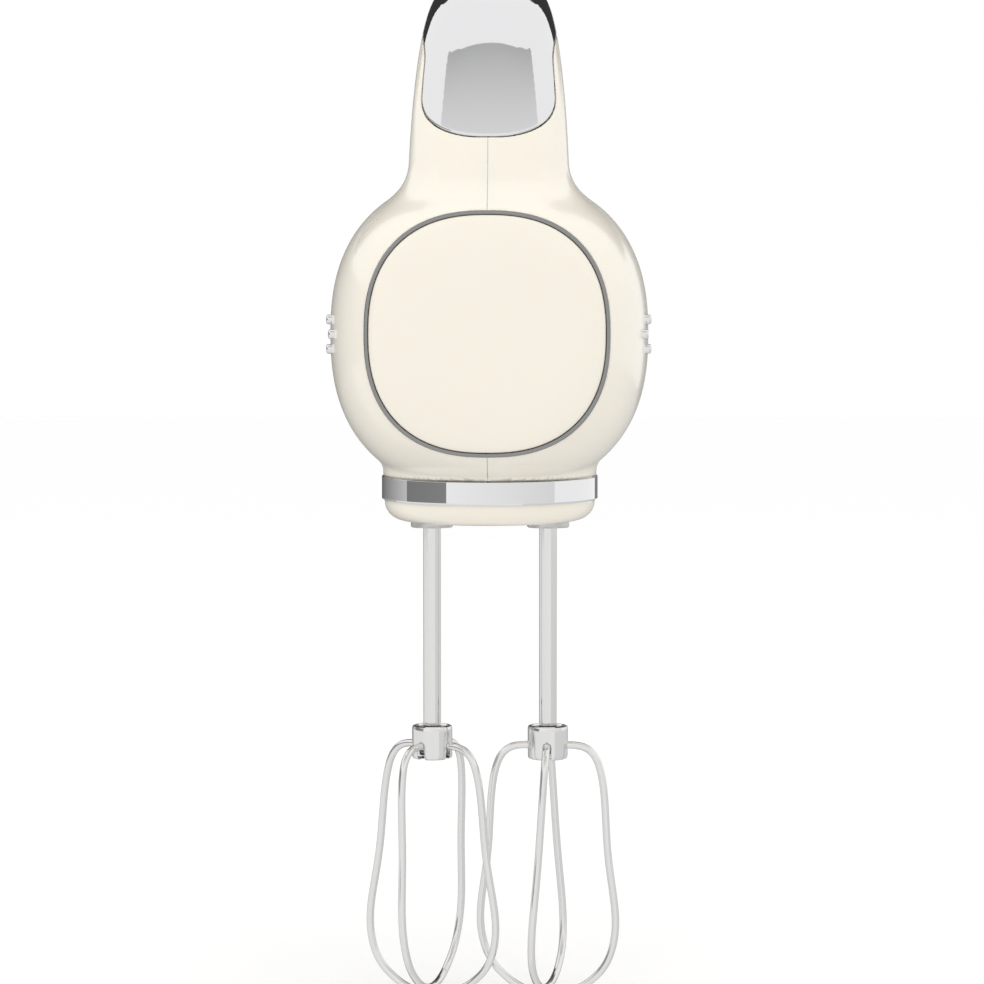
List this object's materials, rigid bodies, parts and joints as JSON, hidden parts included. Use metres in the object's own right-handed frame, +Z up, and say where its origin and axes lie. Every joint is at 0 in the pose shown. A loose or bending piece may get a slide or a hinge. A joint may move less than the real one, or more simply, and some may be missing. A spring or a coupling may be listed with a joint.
{
  "type": "hand mixer",
  "caption": "Hand mixer with a rounded two-half body, loop handle under a bright cover, oval base band and two wire beaters driven by a worm gear",
  "frame": {"origin": "midway between the two beater axes, on the flat underside of the base", "axes": "+Z up towards the handle, -Y towards the nose, +Y towards the heel, +X to the right seen from the nose; beaters hang along -Z"},
  "size_m": [0.0921, 0.2064, 0.2984],
  "materials": {
    "cream_shell": "gloss",
    "bright_trim": "polished",
    "nose_trim": "satin",
    "deck_black": "gloss",
    "lens_smoke": "gloss",
    "button_cream": "gloss",
    "button_chrome": "polished",
    "beater_steel": "polished",
    "black_rubber": "matt",
    "grey_nylon": "matt",
    "white_acetal": "satin",
    "black_plastic": "matt",
    "turned_steel": "satin",
    "zinc_screw": "satin",
    "bronze": "satin",
    "lamination": "satin",
    "copper_wire": "gloss",
    "commutator_copper": "satin",
    "carbon": "matt",
    "board_green": "satin",
    "component_yellow": "gloss",
    "component_blue": "gloss",
    "heat_sink": "satin",
    "spring_steel": "satin"
  },
  "bodies": {
    "housing": {"left_shell": "cream_shell", "right_shell": "cream_shell", "nose_cap": "cream_shell", "nose_ring": "nose_trim", "base_band": "bright_trim", "base_cap": "cream_shell", "socket_rings": "turned_steel", "handle_cover": "bright_trim", "control_deck": "deck_black", "display_lens": "lens_smoke", "side_stripes": "bright_trim", "heel_rest": "black_rubber", "cord_gland": "black_rubber", "case_screws": "zinc_screw", "screw_plugs": "cream_shell", "base_screws": "zinc_screw", "gearbox_screws": "zinc_screw", "gear_case_lower": "grey_nylon", "gear_case_upper": "grey_nylon", "gear_case_screws": "zinc_screw", "spindle_bushes": "bronze", "front_bearing": "bronze", "motor_bearings": "bronze", "front_bracket": "turned_steel", "rear_bracket": "grey_nylon", "motor_bolts": "zinc_screw", "field_core": "lamination", "field_coils": "copper_wire", "brush_holders": "black_plastic", "carbon_brushes": "carbon", "control_board": "board_green", "display_module": "black_plastic", "speed_potentiometer": "component_blue", "turbo_switch": "black_plastic", "suppression_capacitor": "component_yellow", "heat_sink": "heat_sink", "terminal_block": "white_acetal"},
    "armature": {"armature_core": "lamination", "armature_shaft": "turned_steel", "drive_worm": "turned_steel", "armature_windings": "copper_wire", "commutator": "commutator_copper", "cooling_fan": "black_plastic"},
    "left_drive": {"left_spindle": "turned_steel", "left_worm_wheel": "white_acetal"},
    "right_drive": {"right_spindle": "turned_steel", "right_worm_wheel": "white_acetal"},
    "left_ejector": {"left_ejector_pin": "white_acetal"},
    "right_ejector": {"right_ejector_pin": "white_acetal"},
    "left_beater": {"left_beater_loops": "beater_steel", "left_beater_shaft": "beater_steel", "left_beater_collar": "beater_steel"},
    "right_beater": {"right_beater_loops": "beater_steel", "right_beater_shaft": "beater_steel", "right_beater_collar": "beater_steel"},
    "eject": {"eject_link": "white_acetal", "eject_button": "button_chrome", "eject_spring": "spring_steel"},
    "speed": {"speed_slider": "button_chrome"},
    "turbo": {"turbo_button": "button_cream"}
  },
  "joints": [
    {"name": "armature_spin", "type": "hinge", "parent": "housing", "child": "armature", "pos_m": [0, 0, 0.05], "axis": [0, 1, 0], "continuous": true},
    {"name": "left_spindle_spin", "type": "hinge", "parent": "housing", "child": "left_drive", "pos_m": [-0.0165, 0, 0], "axis": [0, 0, 1], "continuous": true},
    {"name": "right_spindle_spin", "type": "hinge", "parent": "housing", "child": "right_drive", "pos_m": [0.0165, 0, 0], "axis": [0, 0, 1], "continuous": true},
    {"name": "eject_press", "type": "slide", "parent": "housing", "child": "eject", "axis": [0, 0, -1], "range_m": [0, 0.004], "stiffness_N_per_m": 900, "springref_m": -0.004, "deforming": ["eject_spring"]},
    {"name": "left_pin_push", "type": "slide", "parent": "left_drive", "child": "left_ejector", "axis": [0, 0, -1], "range_m": [0, 0.004]},
    {"name": "right_pin_push", "type": "slide", "parent": "right_drive", "child": "right_ejector", "axis": [0, 0, -1], "range_m": [0, 0.004]},
    {"name": "left_beater_pull", "type": "slide", "parent": "left_ejector", "child": "left_beater", "axis": [0, 0, -1], "range_m": [0, 0.05]},
    {"name": "right_beater_pull", "type": "slide", "parent": "right_ejector", "child": "right_beater", "axis": [0, 0, -1], "range_m": [0, 0.05]},
    {"name": "speed_slide", "type": "slide", "parent": "housing", "child": "speed", "axis": [0, 1, 0], "range_m": [0, 0.014]},
    {"name": "turbo_press", "type": "slide", "parent": "housing", "child": "turbo", "axis": [0, 0, -1], "range_m": [0, 0.0012], "stiffness_N_per_m": 700, "springref_m": -0.001}
  ],
  "couplings": [
    {"joint": "left_spindle_spin", "follows": "armature_spin", "ratio": -0.066667},
    {"joint": "right_spindle_spin", "follows": "armature_spin", "ratio": 0.066667},
    {"joint": "left_pin_push", "follows": "eject_press", "ratio": 1},
    {"joint": "right_pin_push", "follows": "eject_press", "ratio": 1}
  ]
}
